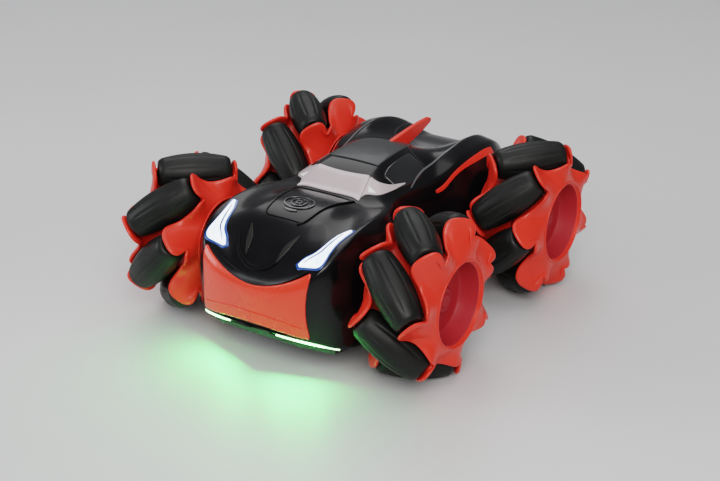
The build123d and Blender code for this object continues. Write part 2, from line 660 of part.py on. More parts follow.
def body_parts():
    """Everything that stays with the chassis, and the door and switch."""
    outer = shell_outer()
    band = outer - shell_inner()
    tub = chassis_tub()
    insets = glazing_prisms() + roof_prism() + headlight_prisms() + trim_prisms()
    shell = band + (shell_posts() & outer) - post_bores() - axle_passages()
    made = {"chassis_tub": tub, "upper_shell": shell - insets}
    made["windshield"] = band & glazing_prisms()
    made["roof_panel"] = band & roof_prism()
    made["headlight_lenses"] = band & headlight_prisms()
    made["fender_trims"] = band & trim_prisms()
    made["front_bumper"] = front_bumper()
    made["roof_fin"] = roof_fin(outer)
    made["underglow_lenses"] = underglow_bars() & loft_sections(tub_sections(0))
    made["gearbox_covers"] = gearbox_covers()
    made["motors"] = Compound([motor(side, end) for _, side, end, _, _ in WHEELS])
    made["battery_pack"] = battery_pack()
    made["battery_door"] = battery_door()
    made["circuit_board"] = circuit_board()
    made["power_switch"] = power_switch()
    made["screws"] = screws()
    return made


os.makedirs("parts", exist_ok=True)
for node, shape in {**body_parts(), **wheel_parts()}.items():
    export_step(shape, f"parts/{node}.step")
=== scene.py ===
import json
from math import atan2, cos, pi, radians, sin, sqrt

import bmesh
import bpy
from mathutils import Matrix, Vector
from mathutils.bvhtree import BVHTree


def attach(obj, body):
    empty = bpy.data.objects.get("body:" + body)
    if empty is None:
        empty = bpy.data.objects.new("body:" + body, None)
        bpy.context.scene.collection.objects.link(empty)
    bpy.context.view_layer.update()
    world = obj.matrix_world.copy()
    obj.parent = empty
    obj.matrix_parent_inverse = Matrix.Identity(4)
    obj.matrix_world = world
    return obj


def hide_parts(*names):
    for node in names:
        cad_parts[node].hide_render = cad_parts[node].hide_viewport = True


# Radio controlled stunt car. Shapes below are given in millimetres in the CAD frame: the nose points
# to -Y, the car's left side is +X, +Z is up and the ground is at z 0. MM turns them into metres.
MM = 0.001

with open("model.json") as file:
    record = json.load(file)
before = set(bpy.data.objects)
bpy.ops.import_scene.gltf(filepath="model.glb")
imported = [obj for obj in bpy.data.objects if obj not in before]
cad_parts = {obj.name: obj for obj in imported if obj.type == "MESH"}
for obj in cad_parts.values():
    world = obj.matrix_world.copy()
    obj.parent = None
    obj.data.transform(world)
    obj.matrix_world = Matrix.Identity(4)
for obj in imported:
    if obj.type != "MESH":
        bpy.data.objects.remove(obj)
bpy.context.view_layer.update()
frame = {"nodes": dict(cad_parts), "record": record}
JOINTS = {joint["name"]: joint for joint in frame["record"]["behaviour"]["joints"]}
WHEEL_NAMES = ("fl", "fr", "rl", "rr")
SIDES = (("left", 1), ("right", -1))


# ---------- materials
def new_material(name):
    """New material, its node tree and its Principled shader."""
    mat = bpy.data.materials.new(name)
    mat.use_nodes = True
    return mat, mat.node_tree, mat.node_tree.nodes["Principled BSDF"]


def set_sockets(node, **values):
    """Set a node's sockets by name; underscores stand for spaces."""
    for key, value in values.items():
        node.inputs[key.replace("_", " ")].default_value = value


def add_node(tree, kind, **values):
    """New node with its sockets set."""
    node = tree.nodes.new(kind)
    set_sockets(node, **values)
    return node


def noise(tree, scale, detail=3.0):
    """Noise in the object's own space, its scale in cells per metre."""
    coords = tree.nodes.new("ShaderNodeTexCoord")
    tex = add_node(tree, "ShaderNodeTexNoise", Scale=scale, Detail=detail)
    tree.links.new(coords.outputs["Object"], tex.inputs["Vector"])
    return tex.outputs["Fac"]


NOISE_LOW, NOISE_HIGH = 0.3, 0.7        # part of the noise's range that a colour or value is spread over
GLOW_LOW, GLOW_HIGH = 0.25, 0.6         # and a lens's glow


def ramp(tree, source, first, last, low=NOISE_LOW, high=NOISE_HIGH):
    """Colour ramp from first to last along a value."""
    node = tree.nodes.new("ShaderNodeValToRGB")
    node.color_ramp.elements[0].position = low
    node.color_ramp.elements[1].position = high
    node.color_ramp.elements[0].color = first
    node.color_ramp.elements[1].color = last
    tree.links.new(source, node.inputs["Fac"])
    return node.outputs["Color"]


def span(tree, source, to_low, to_high):
    """Noise mapped to a range of values."""
    node = add_node(tree, "ShaderNodeMapRange", From_Min=NOISE_LOW, From_Max=NOISE_HIGH, To_Min=to_low,
                    To_Max=to_high)
    tree.links.new(source, node.inputs["Value"])
    return node.outputs["Result"]


def bump(tree, shader, height, strength, distance):
    """Fine relief from a height; the distance is in metres."""
    node = add_node(tree, "ShaderNodeBump", Strength=strength, Distance=distance)
    tree.links.new(height, node.inputs["Height"])
    tree.links.new(node.outputs["Normal"], shader.inputs["Normal"])


# Scales of the noises, in cells per metre
DRIFT_SCALE = 45.0      # slow drift of a moulding's colour
SMUDGE_SCALE = 70.0     # smudges in a moulding's gloss
STAIN_SCALE = 300.0     # colour of bare metal
SCRATCH_SCALE = 900.0   # gloss of bare metal
METAL_GRAIN = 1500.0    # relief of bare metal
GRAIN_BUMP = 0.0001     # height of a moulding's grain, in metres
METAL_BUMP = 0.00005    # and of bare metal's
GLOW_SCALE = 220.0      # brighter and paler places of a lit lens
FLOOR_SCALE = 3.0       # faint drift of the floor


def moulded(name, colour, rough, drift=0.12, grain=900.0, depth=0.15, coat=0.0, spread=0.06, shine=0.5):
    """Moulded plastic: slight drift in colour, smudges that spread its roughness, and a fine grain."""
    mat, tree, shader = new_material(name)
    dark = tuple(c * (1 - drift) for c in colour) + (1,)
    light = tuple(min(1.0, c * (1 + drift) + 0.002) for c in colour) + (1,)
    tree.links.new(ramp(tree, noise(tree, DRIFT_SCALE), dark, light), shader.inputs["Base Color"])
    smudge = span(tree, noise(tree, SMUDGE_SCALE, 5.0), rough - spread, rough + spread)
    tree.links.new(smudge, shader.inputs["Roughness"])
    bump(tree, shader, noise(tree, grain, 2.0), depth, GRAIN_BUMP)
    set_sockets(shader, Coat_Weight=coat, Coat_Roughness=0.05, Specular_IOR_Level=shine)
    return mat


def metal(name, colour, rough):
    """Bare metal with fine scratches."""
    mat, tree, shader = new_material(name)
    dark = tuple(c * 0.8 for c in colour) + (1,)
    tree.links.new(ramp(tree, noise(tree, STAIN_SCALE), dark, colour + (1,)), shader.inputs["Base Color"])
    set_sockets(shader, Metallic=1.0)
    scratches = span(tree, noise(tree, SCRATCH_SCALE), rough * 0.7, rough * 1.3)
    tree.links.new(scratches, shader.inputs["Roughness"])
    bump(tree, shader, noise(tree, METAL_GRAIN, 2.0), 0.2, METAL_BUMP)
    return mat


def glowing(name, colour, strength, core):
    """Lit lens, also used for the bezel's painted lamp glow: the light drifts between the tint of the plastic
    and its bright core colour.
    """
    mat, tree, shader = new_material(name)
    set_sockets(shader, Base_Color=colour + (1,), Roughness=0.12, Coat_Weight=1.0, Coat_Roughness=0.03,
                Emission_Strength=strength)
    glow = ramp(tree, noise(tree, GLOW_SCALE), colour + (1,), core + (1,), GLOW_LOW, GLOW_HIGH)
    tree.links.new(glow, shader.inputs["Emission Color"])
    return mat


def floor_material():
    """Pale floor with a faint drift."""
    mat, tree, shader = new_material("pale_floor")
    drift = ramp(tree, noise(tree, FLOOR_SCALE), (0.60, 0.60, 0.61, 1), (0.64, 0.64, 0.65, 1))
    tree.links.new(drift, shader.inputs["Base Color"])
    set_sockets(shader, Roughness=0.42)
    return mat


MAT = {
    "shell": moulded("shell_gloss_black", (0.003, 0.003, 0.004), 0.24, drift=0.2, grain=260.0, depth=0.02,
                     coat=0.1, spread=0.02, shine=0.27),
    "black": moulded("black_moulding", (0.016, 0.016, 0.018), 0.42, drift=0.2, grain=2600.0, depth=0.5),
    "satin": moulded("roof_satin_grey", (0.026, 0.028, 0.030), 0.38, drift=0.15, grain=3200.0, depth=0.35,
                     coat=0.1, shine=0.4),
    "orange": moulded("hub_red_orange", (0.80, 0.036, 0.018), 0.36, drift=0.08, grain=700.0, depth=0.10,
                      coat=0.12, shine=0.35),
    "bumper": moulded("bumper_red_orange", (0.86, 0.044, 0.019), 0.26, drift=0.06, grain=420.0, depth=0.06,
                      coat=0.5, spread=0.04, shine=0.4),
    # Cup and cap: the hub's red plastic, darkened to a deeper red as painted shade of the recess
    "cup": moulded("cup_red_painted_shade", (0.37, 0.023, 0.030), 0.5, drift=0.08, depth=0.12, shine=0.25),
    "rubber": moulded("roller_rubber", (0.009, 0.0095, 0.009), 0.46, drift=0.25, grain=1900.0, depth=0.4,
                      spread=0.08, shine=0.26),
    "glazing": moulded("pale_glazing", (0.47, 0.40, 0.415), 0.18, drift=0.05, grain=200.0, depth=0.03,
                       coat=0.4, spread=0.03),
    "glass": moulded("quarter_glass", (0.004, 0.004, 0.005), 0.07, drift=0.2, grain=200.0, depth=0.02,
                     coat=1.0, spread=0.02),
    "sheen": moulded("slit_sheen", (0.015, 0.0145, 0.013), 0.24, drift=0.1, grain=500.0, depth=0.1,
                     coat=0.3, spread=0.04),
    "badge": moulded("badge_dark", (0.022, 0.023, 0.024), 0.24, drift=0.15, grain=500.0, depth=0.1,
                     coat=0.5, spread=0.04),
    # Pale grey strip over each haunch's inner edge: a painted highlight of that edge
    "painted_edge_highlight": moulded("haunch_painted_highlight", (0.085, 0.09, 0.093), 0.34, drift=0.08, grain=600.0, depth=0.05,
                         coat=0.1),
    "graphic": moulded("white_graphic", (0.85, 0.85, 0.86), 0.25, drift=0.03, grain=400.0, depth=0.05,
                       coat=0.4),
    "wrap": moulded("battery_wrap", (0.015, 0.10, 0.38), 0.3, drift=0.1, grain=500.0, depth=0.2, coat=0.3),
    "board": moulded("circuit_board", (0.008, 0.11, 0.045), 0.35, drift=0.3, depth=0.3),
    # Blue glow: lamp light on the lens's fine line, painted lamp glow on the bezel, which is a black moulding
    "bezel": glowing("lens_line_and_bezel_painted_glow", (0.010, 0.035, 0.16), 0.55, (0.02, 0.09, 0.40)),
    "headlight": glowing("headlight_glow", (0.45, 0.68, 1.0), 3.0, (0.93, 0.97, 1.0)),
    "green": glowing("underglow_glow", (0.1, 0.9, 0.2), 9.0, (0.7, 1.0, 0.55)),
    "tail": glowing("tail_lamp", (0.6, 0.01, 0.01), 0.5, (1.0, 0.03, 0.02)),
    "steel": metal("bright_steel", (0.62, 0.62, 0.63), 0.28),
    "zinc": metal("zinc_screw", (0.42, 0.42, 0.44), 0.34),
    "brass": metal("cut_brass", (0.80, 0.58, 0.26), 0.26),
    "floor": floor_material(),
}


# ---------- mesh helpers
def new_object(name, data):
    """Object in the scene for a mesh, curve, camera or lamp."""
    obj = bpy.data.objects.new(name, data)
    bpy.context.scene.collection.objects.link(obj)
    return obj


def evaluated_mesh(obj):
    """Mesh of an object as its modifiers or its curve make it."""
    graph = bpy.context.evaluated_depsgraph_get()
    return bpy.data.meshes.new_from_object(obj.evaluated_get(graph))


def mesh_object(name, verts, faces, look):
    """Smooth object from points in millimetres and their faces; look is its finish in MAT."""
    data = bpy.data.meshes.new(name)
    data.from_pydata([Vector(v) * MM for v in verts], [], faces)
    data.validate()
    data.materials.append(MAT[look])
    for face in data.polygons:
        face.use_smooth = True
    return new_object(name, data)


def outward(obj):
    """Turn every face of a closed mesh to the outside."""
    bm = bmesh.new()
    bm.from_mesh(obj.data)
    bmesh.ops.remove_doubles(bm, verts=bm.verts, dist=1e-7)
    bmesh.ops.recalc_face_normals(bm, faces=bm.faces)
    bm.to_mesh(obj.data)
    bm.free()
    return obj


def apply_modifiers(obj):
    """Keep the evaluated mesh in place of the modifiers."""
    data = evaluated_mesh(obj)
    obj.modifiers.clear()
    obj.data = data
    return obj


def modifier(obj, kind, **settings):
    """Add a modifier with its settings."""
    item = obj.modifiers.new(kind.lower(), kind)
    for key, value in settings.items():
        setattr(item, key, value)


def soften(obj, width, angle, segments=2):
    """Rounded edges with clean shading on the flats."""
    modifier(obj, "BEVEL", width=width * MM, segments=segments, limit_method="ANGLE",
             angle_limit=radians(angle))
    modifier(obj, "WEIGHTED_NORMAL", keep_sharp=False)
    return obj


def grid_faces(rows, columns, wrap_columns=False, wrap_rows=False):
    """Quads over a grid of points stored row by row."""
    faces = []
    for r in range(rows if wrap_rows else rows - 1):
        for c in range(columns if wrap_columns else columns - 1):
            r2, c2 = (r + 1) % rows, (c + 1) % columns
            faces.append((r * columns + c, r * columns + c2, r2 * columns + c2, r2 * columns + c))
    return faces


def join(name, objects, look):
    """One object from several of the same finish."""
    bm = bmesh.new()
    for obj in objects:
        bm.from_mesh(obj.data)
        bpy.data.objects.remove(obj)
    data = bpy.data.meshes.new(name)
    bm.to_mesh(data)
    bm.free()
    data.materials.append(MAT[look])
    return new_object(name, data)


def oval(centre, radius_across, radius_up, steps):
    """Points of an ellipse in a plane."""
    angles = [2 * pi * k / steps for k in range(steps)]
    return [(centre[0] + radius_across * cos(angle), centre[1] + radius_up * sin(angle)) for angle in angles]


def lathe(name, outline, look, steps=72):
    """Ring about X from a closed (x, r) outline; a solid one starts and ends a hair off the axis."""
    verts = []
    for x, r in outline:
        verts += [(x, *place) for place in oval((0, 0), r, r, steps)]
    faces = grid_faces(len(outline), steps, wrap_columns=True, wrap_rows=True)
    return outward(mesh_object(name, verts, faces, look))


def on_axle(obj, centre, facing):
    """Place a ring round an axle, its outer face toward +X or -X."""
    obj.data.transform(Matrix.Translation(centre * MM) @ Matrix.Diagonal((facing, 1, 1, 1)))
    return outward(obj)


# ---------- wheels
WHEEL_R = 45.0          # rolling radius
ROLLERS = 7             # rollers and petals of a wheel
ROLLER_HALF = 20.0      # half the length of a roller
ROLLER_ORBIT = 34.5     # from the axle to the middle of a roller
LEAN_SHARE = 0.5        # sine squared of the rollers' 45 degree lean
SHOULDER = 18.0         # the barrel's curve ends this far from the middle
BARREL_RINGS = 31
ROLLER_STEPS = 108      # points round a roller
ROLLER_TURN = 37        # degrees each roller is turned from the one before, so their flutes differ
PIN_END = ROLLER_HALF + 2.6     # the pin's end, from the roller's middle
DISH = ROLLER_HALF - 0.5        # and the floor of the dish round it
RIBS = 9                # shallow flutes round a roller
RIB_REACH = 15.5        # flutes end this far from the middle
RIB_FADE = 3.0          # and get shallow over this length
RIB_DEPTH = 0.42
RIB_ROUND = 0.6         # power that rounds the bottom of a flute
RIB_WIDTH = 0.34        # a flute lies where the cosine that counts the ribs is below this

# End of a roller as (radius, distance from the middle): pin, dished end and rounded shoulder
ROLLER_END = ((0.01, PIN_END), (1.35, PIN_END), (1.5, PIN_END - 0.15), (1.5, DISH), (4.4, DISH),
              (4.8, ROLLER_HALF), (6.0, ROLLER_HALF), (6.7, 19.8), (7.3, 19.35), (7.75, 18.6))


def wheel_frame(name):
    """Centre of a wheel in millimetres, and +1 on the car's left or -1 on its right."""
    centre = Vector(JOINTS[f"wheel_{name}_spin"]["pos_m"]) / MM
    return centre, (1 if centre.x > 0 else -1)


def roller_radius(s):
    """Radius of a roller at s from its middle: its outer line lies on the rolling circle."""
    return WHEEL_R - sqrt(ROLLER_ORBIT ** 2 + LEAN_SHARE * s * s)


def rib_depth(s, angle):
    """Depth of the flutes at a place on a roller: narrow grooves that fade out near the ends."""
    fade = max(0.0, min(1.0, (RIB_REACH - abs(s)) / RIB_FADE))
    lane = abs(cos(RIBS * angle / 2))
    groove = max(0.0, 1 - lane / RIB_WIDTH)
    return RIB_DEPTH * fade * groove ** RIB_ROUND


def roller_mesh():
    """Fluted barrel with rounded shoulders, dished ends and a pin, along Z."""
    stops = [SHOULDER - 2 * SHOULDER * k / (BARREL_RINGS - 1) for k in range(BARREL_RINGS)]
    rings = list(ROLLER_END)
    rings += [(roller_radius(s), s) for s in stops]
    rings += [(r, -s) for r, s in reversed(ROLLER_END)]
    verts = []
    for r, s in rings:
        for k in range(ROLLER_STEPS):
            angle = 2 * pi * k / ROLLER_STEPS
            radius = r - rib_depth(s, angle)
            verts.append((radius * cos(angle), radius * sin(angle), s))
    faces = grid_faces(len(rings), ROLLER_STEPS, wrap_columns=True)
    last = (len(rings) - 1) * ROLLER_STEPS
    faces.append(tuple(range(ROLLER_STEPS)))
    faces.append(tuple(last + k for k in range(ROLLER_STEPS)))
    obj = outward(mesh_object("roller_master", verts, faces, "rubber"))
    data = obj.data
    bpy.data.objects.remove(obj)
    return data


def make_rollers():
    """One roller at each roller joint, all from the same mesh."""
    data = roller_mesh()
    for name in WHEEL_NAMES:
        centre, _ = wheel_frame(name)
        for index in range(1, ROLLERS + 1):
            joint = JOINTS[f"roller_{name}_{index}_spin"]
            axis = Vector(joint["axis"]).normalized()
            place = Vector(joint["pos_m"])
            out = place - centre * MM
            out = (out - axis * out.dot(axis)).normalized()
            turn = Matrix((out, axis.cross(out), axis)).transposed().to_4x4()
            roll = Matrix.Rotation(radians(ROLLER_TURN * index), 4, "Z")
            obj = new_object(f"tread_roller_{name}_{index}", data)
            obj.matrix_world = Matrix.Translation(place) @ turn @ roll
            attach(obj, f"roller_body_{name}_{index}")
            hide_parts(f"roller_{name}_{index}")


PETAL_S = 23.4          # outer face of a petal, from the roller's middle
PETAL_STEP = 2 * pi / ROLLERS
PETAL_MIDDLE = (1.2, -2.5)      # of its flat face, as (across, out)
END_FLAT = 0.6          # the first and last points of the face belong to it by this much
SHEET = 2.2             # thickness of the folded sheet
LIP_X = 21.4            # face of the hub's rim
RIM_RINGS = ((LIP_X - 0.9, 21.9), (LIP_X, 22.7), (LIP_X, 24.0))        # (x, radius) of the inner rows
BROW = (LIP_X - 0.7, 24.9)      # where the petals leave the rim
SHELF_AT = 0.35         # the two rows that follow, from the brow to the petals' edge
FOLD_AT = 0.68
FOLD = 0.56             # where the fold lies between the middle of a petal and its edge
RING_LEAD = 14.0        # degrees that the ring's first point lags the first petal's roller
RING_PULL = 0.35        # how far the ring's points follow the edge's points round the axle
ROW_CREASES = {2: 0.7, 4: 0.4}  # the rim's outer edge and the fold
RIDGE_CREASES = {9: 0.4, 11: 0.3, 13: 0.3}      # by the point along a petal's edge
BEAD_R = 0.62           # section radius of the ring round the cup
BEAD_RING = 23.3        # radius of that ring
BEAD_STEPS = 8

# Edge of a petal's flat face as (across, out), and of the valley after it as (x, radius, degrees round)
PADDLE = ((-7.4, -4.6), (-7.5, 0.5), (-6.6, 4.6), (-3.8, 6.7), (0.0, 6.3), (3.8, 5.1), (7.2, 3.3), (9.5, 0.6),
          (9.9, -3.2), (8.9, -6.6))
VALLEY = ((13.2, 33.6, 43.5), (16.2, 33.0, 48.5), (19.6, 33.8, 54.0), (22.0, 35.0, 59.5), (22.6, 35.0, 65.0))


def petal_point(b, r):
    """Point of a petal's face, b across it and r away from the roller's middle, as (x, out, around)."""
    half = sqrt(LEAN_SHARE)
    return Vector((PETAL_S * half - b * half, ROLLER_ORBIT + r, PETAL_S * half + b * half))


def ring_point(x, radius, angle):
    """Point on a circle round the axle, by its angle from the petal's roller."""
    return Vector((x, radius * cos(angle), radius * sin(angle)))


def petal_edge():
    """Outer edge of one petal and of the shallow valley after it: (point, part of the flat face)."""
    ends = (PADDLE[0], PADDLE[-1])
    edge = [(petal_point(*place), END_FLAT if place in ends else 1.0) for place in PADDLE]
    return edge + [(ring_point(x, radius, radians(degrees)), 0.0) for x, radius, degrees in VALLEY]


def turn_about_axle(point, angle):
    """Rotate an (x, out, around) point about the axle."""
    out = point.y * cos(angle) - point.z * sin(angle)
    around = point.y * sin(angle) + point.z * cos(angle)
    return Vector((point.x, out, around))


def sheet_rows():
    """Rows of the folded sheet from the cup's rim out to the petals' edge."""
    edge = petal_edge()
    middle = petal_point(*PETAL_MIDDLE)
    columns = []
    for petal in range(ROLLERS):
        base = petal * PETAL_STEP
        for index, (point, flat) in enumerate(edge):
            even = radians(RING_LEAD) + PETAL_STEP * index / len(edge)
            angle = base + (1 - RING_PULL) * even + RING_PULL * atan2(point.z, point.y)
            outer = turn_about_axle(point, base)
            brow = ring_point(*BROW, angle)
            fold_flat = turn_about_axle(middle.lerp(point, FOLD), base)
            fold = brow.lerp(outer, FOLD_AT).lerp(fold_flat, flat)
            rim = [ring_point(x, radius, angle) for x, radius in RIM_RINGS]
            columns.append([*rim, brow.lerp(outer, SHELF_AT), fold, outer])
    return list(zip(*columns))


def to_car(points, centre, facing, out, around):
    """Place (x, out, around) points on a wheel."""
    return [centre + Vector((facing * p.x, 0, 0)) + out * p.y + around * p.z for p in points]


def crease_edges(obj, columns, row_weight, column_weight):
    """Crease a grid's edges along its rows and across them by functions of (row, column)."""
    layer = obj.data.attributes.new("crease_edge", "FLOAT", "EDGE")
    for edge in obj.data.edges:
        row, column = divmod(min(edge.vertices), columns)
        along_row = max(edge.vertices) // columns == row
        layer.data[edge.index].value = (row_weight if along_row else column_weight)(row, column)


def folded_sheet(name, centre, facing, out, around):
    """The star of petals as one folded sheet."""
    rows = sheet_rows()
    columns = len(rows[0])
    per_petal = columns // ROLLERS
    verts = []
    for row in rows:
        verts += to_car(row, centre, facing, out, around)
    obj = mesh_object(name, verts, grid_faces(len(rows), columns, wrap_columns=True), "orange")
    crease_edges(obj, columns, lambda row, column: ROW_CREASES.get(row, 0.0),
                 lambda row, column: RIDGE_CREASES.get(column % per_petal, 0.0))
    if Vector((facing, 0, 0)).cross(out).dot(around) < 0:
        obj.data.flip_normals()
    modifier(obj, "SOLIDIFY", thickness=SHEET * MM, offset=1.0, use_rim=True)
    modifier(obj, "SUBSURF", levels=2, render_levels=2)
    return apply_modifiers(obj)


def hub_drum(name, centre, facing):
    """Drum, rim and cup wall of a hub half."""
    outline = ((0.0, 19.4), (0.0, 23.2), (6.0, 23.2), (9.0, 23.7), (14.0, 24.3), (19.0, 24.6), (20.3, 24.3),
               (20.8, 23.4), (20.6, 22.4), (20.0, 21.75), (15.0, 21.2), (10.6, 20.4), (9.0, 19.9),
               (7.5, 19.6))
    return on_axle(lathe(name, outline, "orange"), centre, facing)


def rim_bead(name, centre, facing):
    """Thin raised ring on the hub's face, round the cup."""
    outline = oval((LIP_X, BEAD_RING), BEAD_R, BEAD_R, BEAD_STEPS)
    return on_axle(lathe(name, outline, "orange"), centre, facing)


def hub_cup(name, centre, facing):
    """Dish inside the hub, its deeper red a painted shade of the recess: smooth wall, flat floor and a centre
    boss.
    """
    outline = ((20.2, 21.75), (19.6, 21.5), (15.0, 20.9), (11.2, 20.1), (9.9, 19.2), (9.3, 17.6), (9.1, 9.4),
               (9.5, 8.4), (12.1, 6.6), (12.4, 6.0), (12.4, 3.4), (11.9, 3.0), (10.0, 2.95), (8.6, 2.9),
               (8.4, 6.0), (8.4, 20.2), (13.0, 21.4), (19.6, 22.2))
    cup = on_axle(lathe(name, outline, "cup"), centre, facing)
    return soften(cup, 0.2, 30)


def hub_cap(name, centre, facing):
    """Low cap over the wheel's screw, in the cup's deeper red of painted shade."""
    outline = ((12.0, 0.01), (13.6, 0.01), (13.5, 2.6), (13.0, 3.8), (12.2, 4.3), (11.9, 4.3), (11.9, 3.4))
    return on_axle(lathe(name, outline, "cup", 40), centre, facing)


def make_hubs():
    """Both halves of every hub with their cups, and the cap in the outer one."""
    for name in WHEEL_NAMES:
        centre, side = wheel_frame(name)
        joint = JOINTS[f"roller_{name}_1_spin"]
        axis = Vector(joint["axis"])
        out = Vector(joint["pos_m"]) / MM - centre
        out.x = 0
        out.normalize()
        for half, facing in (("outer", side), ("inner", -side)):
            # the roller's end on this face shows which way round the wheel its petal lies
            lean = axis * facing
            around = Vector((0, lean.y, lean.z)).normalized()
            sheet = folded_sheet(f"sheet_{half}_{name}", centre, facing, out, around)
            drum = hub_drum(f"drum_{half}_{name}", centre, facing)
            bead = rim_bead(f"bead_{half}_{name}", centre, facing)
            hub = join(f"petal_hub_{half}_{name}", [sheet, drum, bead], "orange")
            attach(hub, f"wheel_{name}")
            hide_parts(f"hub_{half}_{name}")
            cup = hub_cup(f"hub_cup_{half}_{name}", centre, facing)
            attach(cup, f"wheel_{name}")
        cap = hub_cap(f"hub_cap_{name}", centre, side)
        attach(cap, f"wheel_{name}")


# ---------- body shell
# Each row is a section of the body at one y: (x, z) of the skirt's lower edge, the belt, the shoulder,
# the valley beside the crown and the crown's edge, then the height of the middle line.
BODY_ROWS = (
    (-108.0, (2.5, 27.0), (3.0, 38.0), (2.6, 44.0), (2.0, 45.6), (1.0, 46.4), 46.8),
    (-107.2, (19.0, 26.5), (21.0, 38.0), (18.0, 48.5), (12.0, 50.0), (6.0, 50.6), 50.8),
    (-104.5, (31.0, 25.5), (34.0, 42.0), (30.5, 56.5), (23.0, 56.2), (12.0, 55.0), 54.8),
    (-99.5, (37.0, 23.0), (40.0, 46.0), (36.5, 63.8), (28.5, 63.0), (17.0, 60.0), 59.2),
    (-94.0, (43.2, 19.5), (44.8, 48.0), (39.5, 68.0), (31.5, 66.8), (19.0, 65.4), 65.4),
    (-86.0, (46.4, 16.8), (47.8, 50.0), (41.0, 72.4), (32.5, 70.6), (19.5, 71.4), 72.4),
    (-76.0, (48.0, 15.6), (49.2, 52.0), (41.5, 75.2), (33.0, 73.4), (18.8, 76.6), 77.8),
    (-64.0, (48.4, 15.6), (49.5, 54.0), (41.3, 76.6), (32.0, 74.6), (18.0, 79.3), 80.4),
    (-52.0, (48.4, 15.6), (49.4, 54.0), (40.6, 76.6), (31.0, 74.4), (17.6, 78.6), 79.6),
    (-42.0, (48.2, 15.6), (48.8, 54.0), (39.2, 75.6), (29.0, 74.0), (18.0, 76.6), 77.4),
    (-35.5, (46.8, 15.6), (47.2, 54.0), (37.6, 74.4), (27.6, 74.2), (20.0, 75.4), 75.8),
    (-28.0, (39.8, 15.8), (41.2, 53.0), (34.8, 73.6), (26.2, 76.2), (18.4, 79.8), 80.5),
    (-20.3, (35.2, 16.2), (37.2, 52.0), (32.8, 73.2), (25.6, 79.2), (16.8, 83.8), 84.4),
    (-10.5, (33.4, 16.4), (36.2, 52.0), (32.2, 73.6), (24.8, 81.2), (15.8, 86.4), 87.2),
    (6.0, (33.4, 16.4), (36.2, 52.0), (33.0, 71.2), (25.6, 79.8), (15.2, 87.6), 88.4),
    (22.0, (37.2, 16.2), (39.8, 54.0), (36.4, 72.2), (28.4, 77.2), (14.2, 85.8), 86.8),
    (30.0, (42.6, 15.8), (44.2, 56.0), (38.2, 75.8), (29.4, 78.6), (14.0, 83.6), 84.4),
    (38.0, (48.0, 15.6), (48.6, 57.0), (38.9, 78.0), (30.2, 80.8), (14.2, 80.6), 81.2),
    (54.0, (48.4, 15.6), (49.3, 58.0), (39.6, 79.6), (31.0, 82.6), (14.0, 75.2), 75.4),
    (68.0, (48.4, 15.6), (49.5, 58.0), (39.6, 79.2), (30.4, 82.0), (14.0, 71.4), 71.2),
    (80.0, (48.0, 16.0), (49.0, 56.0), (38.7, 76.6), (29.4, 79.0), (14.0, 69.4), 69.2),
    (90.0, (45.6, 17.5), (47.2, 53.0), (36.6, 72.6), (27.6, 74.0), (14.0, 67.2), 67.0),
    (99.0, (41.5, 25.0), (43.6, 50.0), (33.8, 67.0), (25.0, 67.6), (14.0, 64.4), 64.2),
    (105.5, (37.2, 34.0), (38.0, 48.0), (31.0, 61.2), (24.0, 61.8), (14.0, 60.6), 60.4),
    (108.2, (33.8, 37.8), (35.4, 47.0), (29.4, 57.8), (23.0, 58.4), (13.4, 57.8), 57.8),
    (108.7, (31.6, 39.4), (32.6, 46.6), (27.4, 55.6), (21.5, 56.2), (12.4, 55.8), 55.8),
    (108.5, (3.0, 40.4), (3.2, 44.0), (2.6, 49.0), (2.0, 50.0), (1.0, 50.4), 50.6),
)
SKIRT_TURN = 3.0        # the skirt's lower edge turns in by this much
SKIRT_LIFT = 0.4        # and up by this much
SIDE_BULGE = 1.0        # fullness of the sides between their corners
BULGE_SHARE = 0.1       # and its largest share of the belt's x
BELT_SHARE = 0.3        # how near the belt the point between belt and shoulder lies
SIDE_CREASES = {1: 0.9, 5: 0.4, 7: 0.45}        # by point of a half section: skirt, shoulder, crown edge
VALLEY_LINE = 6
HAUNCH = (6.0, 100.0)   # between these y the valley turns into the sharp inner edge of the haunch
HAUNCH_CREASE = 0.65
TAIL_ROW = len(BODY_ROWS) - 3   # the row that the edge round the tail runs along
TAIL_CREASE = 0.7
WALL = 1.4              # thickness of the shell


def half_section(row):
    """Points of the left half of a section, from the skirt's turned-in edge up to the middle line."""
    y, skirt, belt, shoulder, valley, crown, middle_z = row
    fullness = min(SIDE_BULGE, BULGE_SHARE * belt[0])
    low = ((skirt[0] + belt[0]) / 2 + fullness, (skirt[1] + belt[1]) / 2)
    flank = [BELT_SHARE * low_end + (1 - BELT_SHARE) * high_end for low_end, high_end in zip(belt, shoulder)]
    flank[0] += fullness
    turned = (max(0.5, skirt[0] - SKIRT_TURN), skirt[1] + SKIRT_LIFT)
    points = (turned, skirt, low, belt, flank, shoulder, valley, crown, (0.0, middle_z))
    return [Vector((x, y, z)) for x, z in points]


def body_surface():
    """Whole outer skin as one subdivision surface."""
    verts, columns = [], 0
    for row in BODY_ROWS:
        half = half_section(row)
        section = half + [Vector((-p.x, p.y, p.z)) for p in reversed(half[:-1])]
        columns = len(section)
        verts += section
    faces = grid_faces(len(BODY_ROWS), columns)
    for first in (0, (len(BODY_ROWS) - 1) * columns):
        for k in range(columns // 2):
            ring = (first + k, first + k + 1, first + columns - 2 - k, first + columns - 1 - k)
            faces.append(tuple(dict.fromkeys(ring)))    # a triangle where both halves share a point
    obj = mesh_object("body_shell", verts, faces, "shell")

    def side_crease(row, column):
        line = min(column, columns - 1 - column)
        if line == VALLEY_LINE and HAUNCH[0] < BODY_ROWS[row][0] < HAUNCH[1]:
            return HAUNCH_CREASE
        return SIDE_CREASES.get(line, 0.0)

    crease_edges(obj, columns, lambda row, column: TAIL_CREASE if row == TAIL_ROW else 0.0, side_crease)
    outward(obj)
    modifier(obj, "SUBSURF", levels=3, render_levels=3)
    return apply_modifiers(obj)


